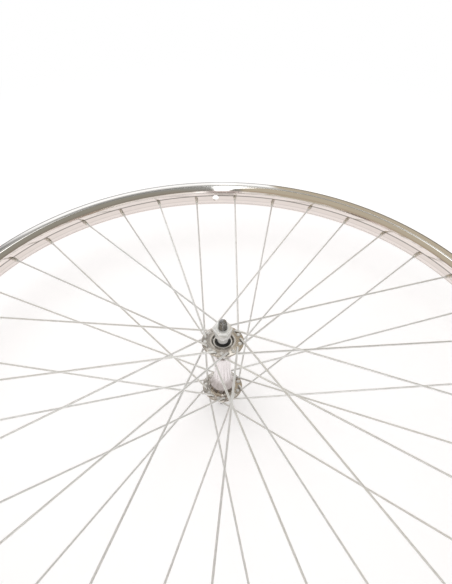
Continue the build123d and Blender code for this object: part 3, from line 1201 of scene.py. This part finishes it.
@dataclass
class AxleSet:
    """The axle with its cones, seals, washers and locknuts, in mm."""

    # Radii of the axle under and over its thread and inside the locknuts, and half its length
    core: float = 3.42
    crest: float = 3.95
    plain: float = 3.7
    half: float = 58.0
    # How far below the tip and inside the core each corner of the tip lies
    dome: tuple[Point, ...] = ((0.75, 0.0), (0.2, 0.25), (0.0, 0.55))
    # Thread: its pitch, its free turns, and how far above the locknut it starts
    pitch: float = 1.0
    turns: int = 6
    run_out: float = 0.1
    # Half the width over the locknuts, and radius of the bores of cones and nuts
    hub_half: float = 50.0
    bore: float = 3.73
    # Locknut: width over flats, height, and width and depth of its turned corners and mouth
    nut_flats: float = 15.0
    nut_height: float = 5.0
    nut_corner: Point = (1.0, 0.5)
    nut_mouth: Point = (0.6, 0.5)
    # Lock washer: radius, height, and radius of its edges
    washer: float = 7.2
    washer_height: float = 1.2
    washer_round: float = 0.3
    # Cone: radii at its race, neck and head, radii of its corners, width and height of its flats
    cone_foot: float = 5.8
    cone_neck: float = 4.8
    cone_head: float = 7.2
    cone_rounds: tuple[float, ...] = (2.0, 0.25, 0.3)
    cone_flats: float = 13.0
    flat_length: float = 3.5
    # Balls: radius of their circle, their height, radius of the race, and degrees of its corners
    ball_circle: float = 6.2
    ball_height: float = 27.4
    race: float = 2.035
    race_turns: Sequence[int] = range(160, 100, -10)
    # Seal: height of its top, its own height, radius of its lip, and its collar
    seal_top: float = 32.0
    seal_height: float = 1.8
    seal_lip: float = 7.15
    seal_collar: float = 1.8
    collar_walls: Point = (0.9, 0.45)
    # How far a cutting tool reaches past its piece
    spare: float = 1.0

    @property
    def nut_foot(self) -> float:
        """Height of the foot of a locknut."""
        return self.hub_half - self.nut_height

    @property
    def cone_top(self) -> float:
        """Height of the top of a cone."""
        return self.nut_foot - self.washer_height

    @property
    def seal_foot(self) -> float:
        """Height of the foot of a seal, where a cone's neck starts."""
        return self.seal_top - self.seal_height

    def thread(self) -> Piece:
        """Wind the thread of the upper end.

        Returns:
            The thread, as a closed ridge.
        """
        # Radius of each corner of a flank, and its height as a share of the pitch
        flank = [(self.core - 0.3, 0.01), (self.core, 0.02), (self.crest - 0.08, 0.36), (self.crest, 0.44)]
        ridge = flank + [(radius, 1 - share) for radius, share in reversed(flank)]
        start = self.hub_half + self.run_out
        thread = outline("axle_thread", [(radius, start + share * self.pitch) for radius, share in ridge])
        rest()
        modify(thread, "SCREW", axis="Z", angle=2 * math.pi, screw_offset=self.pitch * MM,
               iterations=self.turns, steps=40, render_steps=40, use_merge_vertices=False)
        edit(thread)
        bpy.ops.mesh.fill_holes(sides=0)
        tidy(thread)
        return thread

    def axle(self) -> None:
        """Turn the axle and put its thread on."""
        foot = [(self.plain, self.hub_half - 2 * self.run_out), (self.core, self.hub_half + self.run_out)]
        dome = [(self.core - inward, self.half - below) for below, inward in self.dome]
        lower = [(radius, -z) for radius, z in reversed([*foot, *dome, (0, self.half)])]
        core = lathe("axle_core", [*lower, *foot, *dome, (0, self.half)], steps=64, closed=False)
        thread = self.thread()
        other = copy(thread, "axle_thread_lower", End.LOWER.turn)
        whole = join("axle_threaded", [core, thread, other])
        finished(smooth(whole, angle=35), Body.AXLE, Finishes.AXLE, "axle")

    def cones(self) -> None:
        """Turn the cones and cut their spanner flats."""
        arc = [(self.ball_circle + self.race * math.cos(math.radians(turn)),
                self.ball_height + self.race * math.sin(math.radians(turn))) for turn in self.race_turns]
        seat, top = self.seal_foot, self.cone_top
        base = top - self.flat_length
        body = [(self.cone_foot, arc[-1][1]), (self.cone_foot, seat), (self.cone_neck, seat),
                (self.cone_neck, base), (self.cone_head, base), (self.cone_head, top), (self.bore, top),
                (self.bore, arc[0][1])]
        points = rounded(arc + body, dict(enumerate(self.cone_rounds, len(arc) + 3)), steps=4)
        model = lathe("cone", points)
        cut(model, [self.cheek(side) for side in (1, -1)])
        soften(model, width=0.1)
        pair(model, "cone_bright", Body.AXLE, Finishes.CONE, "cone")

    def cheek(self, side: int, width: float = 20.0, depth: float = 6.0) -> Piece:
        """The tool that cuts one flat of a cone's head.

        Args:
            side: 1 for the far flat and -1 for the near one.
            width: The tool's width.
            depth: The tool's depth.

        Returns:
            The tool.
        """
        middle = self.cone_top - self.flat_length / 2 + self.spare / 2
        rest()
        bpy.ops.mesh.primitive_cube_add(size=1)
        cheek = bpy.context.object
        cheek.scale = (width * MM, depth * MM, (self.flat_length + self.spare) * MM)
        cheek.location = Vector((0, side * (self.cone_flats / 2 + depth / 2), middle)) * MM
        return named(f"cheek_{side}")

    def seals(self) -> None:
        """Mould the seals."""
        neck, lip, top, foot = self.cone_neck, self.seal_lip, self.seal_top, self.seal_foot
        collar = top + self.seal_collar
        wide, thin = self.collar_walls
        points = [(neck, foot), ((neck + lip) / 2, foot), (lip, (top + foot) / 2), (lip, top),
                  (neck + wide, top), (neck + thin, collar), (neck, collar)]
        model = lathe("seal", rounded(points, {2: 0.3, 3: 0.25, 4: 0.3, 5: 0.15}, steps=4))
        pair(model, "dust_seal_black", Body.AXLE, Finishes.SEAL, "dust_seal")

    def washers(self) -> None:
        """Punch the lock washers."""
        low, high = self.cone_top, self.nut_foot
        points = [(self.bore, low), (self.washer, low), (self.washer, high), (self.bore, high)]
        radii = {1: self.washer_round, 2: self.washer_round}
        model = lathe("washer", rounded(points, radii, steps=4))
        pair(model, "lock_washer_zinc", Body.AXLE, Finishes.NUT, "lock_washer")

    def nuts(self) -> None:
        """Shape the locknuts: a hexagon with its outer corners turned off."""
        corner = self.nut_flats / math.sqrt(3)
        low, high = self.nut_foot, self.hub_half
        model = rod(corner, self.nut_height, UP * ((low + high) / 2), UP, sides=6)
        model.data.transform(Matrix.Rotation(math.pi / 6, 4, "Z"))
        under, clear, over = low - self.spare, corner + 0.02, high + 0.1
        inward, down = self.nut_corner
        disc = [(0, under), (clear, under), (clear, high - down), (corner - inward, high), (0, high)]
        cut(model, [lathe("disc", disc, closed=False)], "INTERSECT")
        wide, deep = self.nut_mouth
        mouth = [(0, under), (self.bore, under), (self.bore, high - deep), (self.bore + wide, over),
                 (0, over)]
        cut(model, [lathe("mouth", mouth, steps=64, closed=False)])
        soften(model, width=0.14)
        pair(model, "locknut_zinc", Body.AXLE, Finishes.NUT, "locknut")


def dress_bearings() -> None:
    """Give the cups and balls inside the hub their finish."""
    for kind in ("bearing_cup", "bearing_balls"):
        for end in End:
            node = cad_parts[f"{kind}_{end.value}"]
            node.data.materials.clear()
            node.data.materials.append(Finishes.BEARING.value.material())
            LOG.info("%s: dressed as %s", node.name, Finishes.BEARING.value.slot)


@dataclass(frozen=True)
class Panel:
    """A wall, card or lamp of the studio that bright metal mirrors.

    Attributes:
        across: From and to, in degrees from the wheel's middle towards the right.
        height: From and to, in degrees from the far floor up, past 90 on the near side.
        colour: Its colour, with 1 as white.
        soft: How wide its soft edge is, in degrees.
        lean: How far it moves to the left for each degree of height above its level.
        level: The height where its sides lie as given.
    """

    across: Point
    height: Point
    colour: Colour
    soft: float
    lean: float = 0.0
    level: float = 122.0


@dataclass
class Studio:
    """Floor, surround, lamp, world and camera, in metres."""

    # Height of the floor, where the axle's lower end stands, its radius, its colour and its clouds
    floor_height: float = -0.058
    floor_radius: float = 1.0
    floor_colour: Colour = (0.90, 0.885, 0.885)
    floor_shade: float = 0.985
    # How much the floor shines by itself, and radii where it starts to turn white and is white
    floor_lift: float = 0.24
    floor_fade: Point = (0.36, 0.9)
    # Colour and distance of the walls behind the panels
    walls: Colour = (1.12, 1.115, 1.11)
    walls_radius: float = 28.0
    # What bright metal mirrors, each panel over the ones before
    panels: tuple[Panel, ...] = (
        # Grey far side and ceiling, and pale near side
        Panel((-95, 95), (38, 78), (0.235, 0.232, 0.225), 3),
        Panel((-95, 95), (78, 156), (0.30, 0.295, 0.275), 8),
        Panel((-95, 95), (156, 230), (1.0, 0.99, 0.95), 5),
        # Brown and grey cards to the right, in the middle and to the left
        Panel((8, 75), (62, 156), (0.30, 0.28, 0.235), 10),
        Panel((-14, 6), (40, 58), (0.45, 0.44, 0.42), 3),
        Panel((6.4, 50), (-30, 60), (0.50, 0.435, 0.335), 1.2),
        Panel((-75, -5.5), (66, 156), (0.50, 0.435, 0.335), 3, lean=0.1),
        Panel((-75, -12.3), (156, 190), (0.56, 0.53, 0.425), 3, lean=0.1),
        Panel((-75, -40), (8, 60), (0.30, 0.29, 0.28), 8),
        Panel((-2.5, 4.5), (42, 53), (0.80, 0.79, 0.76), 1.5),
        # Lamps that the hub's flanges mirror
        Panel((3.6, 10), (56, 66), (1.9, 1.9, 1.85), 1.2),
        Panel((-10, -3.6), (56, 66), (1.9, 1.9, 1.85), 1.2),
        # Lamps that make the rim's highlight
        Panel((0.7, 2.9), (10, 37), (1.35, 1.35, 1.35), 0.5),
        Panel((-0.1, 0.95), (66, 86), (3.0, 3.0, 3.0), 0.3),
        Panel((-3.4, 1.2), (86, 156), (3.0, 3.0, 3.0), 0.8),
        Panel((-7.3, 9.0), (156, 200), (1.5, 1.5, 1.5), 2.5),
    )
    # Light from all round on matt surfaces
    level: float = 0.78
    # Large lamp: its power in watts, its width, its place and the place that it points at
    key: float = 14.0
    lamp_size: float = 3.0
    lamp_place: Colour = (-0.7, 0.5, 2.2)
    lamp_aim: Colour = (0.1, 0.1, 0.0)
    # Camera: its place, the way that it looks, its upward direction, and lens and sensor in mm
    eye: Colour = (-0.01317, -0.36129, 0.42323)
    forward: Colour = (0.03195, 0.73786, -0.67419)
    up: Colour = (0.01839, 0.67399, 0.73851)
    lens: float = 35.875
    sensor: float = 36.0

    def floor(self) -> None:
        """Lay the pale floor."""
        rest()
        bpy.ops.mesh.primitive_circle_add(vertices=128, radius=self.floor_radius, fill_type="NGON",
                                          location=(0, 0, self.floor_height))
        floor = named("floor")
        made = bpy.data.materials.new("pale_floor")
        graph = Graph(made)
        whole, x, y, _ = graph.place()
        darker = tuple(c * self.floor_shade for c in self.floor_colour)
        tint = graph.mix(graph.noise(whole, scale=1.5), self.floor_colour, darker)
        matt = graph.node("ShaderNodeBsdfDiffuse", None, {"Color": tint})
        lift = graph.glow((1.0, 0.995, 0.995), self.floor_lift)
        near = graph.node("ShaderNodeAddShader", None, {0: matt, 1: lift})
        fade = x.length_with(y).ramp(*self.floor_fade)
        graph.end(graph.blend(fade, near, graph.glow((1.0, 1.0, 1.0))))
        floor.data.materials.append(made)

    def surround(self) -> None:
        """Put the studio's walls and cards around, for bright metal to mirror."""
        rest()
        bpy.ops.mesh.primitive_uv_sphere_add(segments=64, ring_count=32, radius=self.walls_radius)
        dome = named("studio_surround")
        made = bpy.data.materials.new("studio_walls")
        graph = Graph(made)
        _, x, y, z = graph.place()
        across = x.angle_from(y.length_with(z))
        below = FULL_TURN / 4
        height = (z.angle_from(y) + (FULL_TURN + below)) % FULL_TURN - below
        colour: Paint = self.walls
        for panel in self.panels:
            place = across + (height - panel.level) * panel.lean
            share = place.band(*panel.across, panel.soft) * height.band(*panel.height, panel.soft)
            colour = graph.mix(share, colour, panel.colour)
        graph.end(graph.glow(colour))
        dome.data.materials.append(made)
        dome.visible_camera = False
        dome.visible_diffuse = False
        dome.visible_shadow = False

    def lights(self) -> None:
        """Light the world evenly, white to the camera and in metal, and hang one large soft lamp."""
        world = bpy.data.worlds.new("studio")
        bpy.context.scene.world = world
        graph = Graph(world)
        fill = graph.glow((1.0, 0.99, 0.98), self.level, "Background")
        white = graph.glow((1.0, 1.0, 1.0), 1.0, "Background")
        straight, mirrored_in, through = (graph.node("ShaderNodeLightPath", output=f"Is {kind} Ray")
                                          for kind in ("Camera", "Glossy", "Transmission"))
        seen = (straight + mirrored_in + through).ramp(0.0, 1.0)
        graph.end(graph.blend(seen, fill, white), "World")
        bpy.ops.object.light_add(type="AREA", location=self.lamp_place)
        lamp = bpy.context.object
        lamp.name = "soft_lamp"
        lamp.data.shape = "DISK"
        lamp.data.size = self.lamp_size
        lamp.data.energy = self.key
        lamp.visible_glossy = False
        aim = Vector(self.lamp_aim) - lamp.location
        lamp.rotation_euler = aim.to_track_quat("-Z", "Y").to_euler()

    def camera(self) -> None:
        """Set the camera at the photograph's place."""
        forward = Vector(self.forward).normalized()
        right = forward.cross(Vector(self.up).normalized()).normalized()
        turn = Matrix((right, right.cross(forward), -forward)).transposed().to_4x4()
        data = bpy.data.cameras.new("photo_camera")
        data.sensor_fit = "AUTO"
        data.sensor_width = self.sensor
        data.lens = self.lens
        data.clip_start, data.clip_end = 0.01, 100.0
        eye = bpy.data.objects.new("photo_camera", data)
        eye.matrix_world = Matrix.Translation(self.eye) @ turn
        bpy.context.scene.collection.objects.link(eye)
        bpy.context.scene.camera = eye

    def build(self) -> None:
        """Set up the whole studio."""
        self.floor()
        self.surround()
        self.lights()
        self.camera()
        bpy.context.scene.view_settings.view_transform = "Standard"


def main() -> None:
    """Build the wheel piece by piece, then the studio around it."""
    logging.basicConfig(level=logging.INFO, format="%(name)s: %(message)s")
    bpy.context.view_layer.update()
    lacing = Lacing()
    Rim(lacing).build()
    Spokes(lacing).build()
    Nipples(lacing).build()
    hub = Hub(lacing)
    hub.shell()
    hub.caps()
    axle_set = AxleSet()
    axle_set.axle()
    axle_set.cones()
    axle_set.seals()
    axle_set.washers()
    axle_set.nuts()
    dress_bearings()
    Studio().build()


if __name__ == "__main__":
    main()
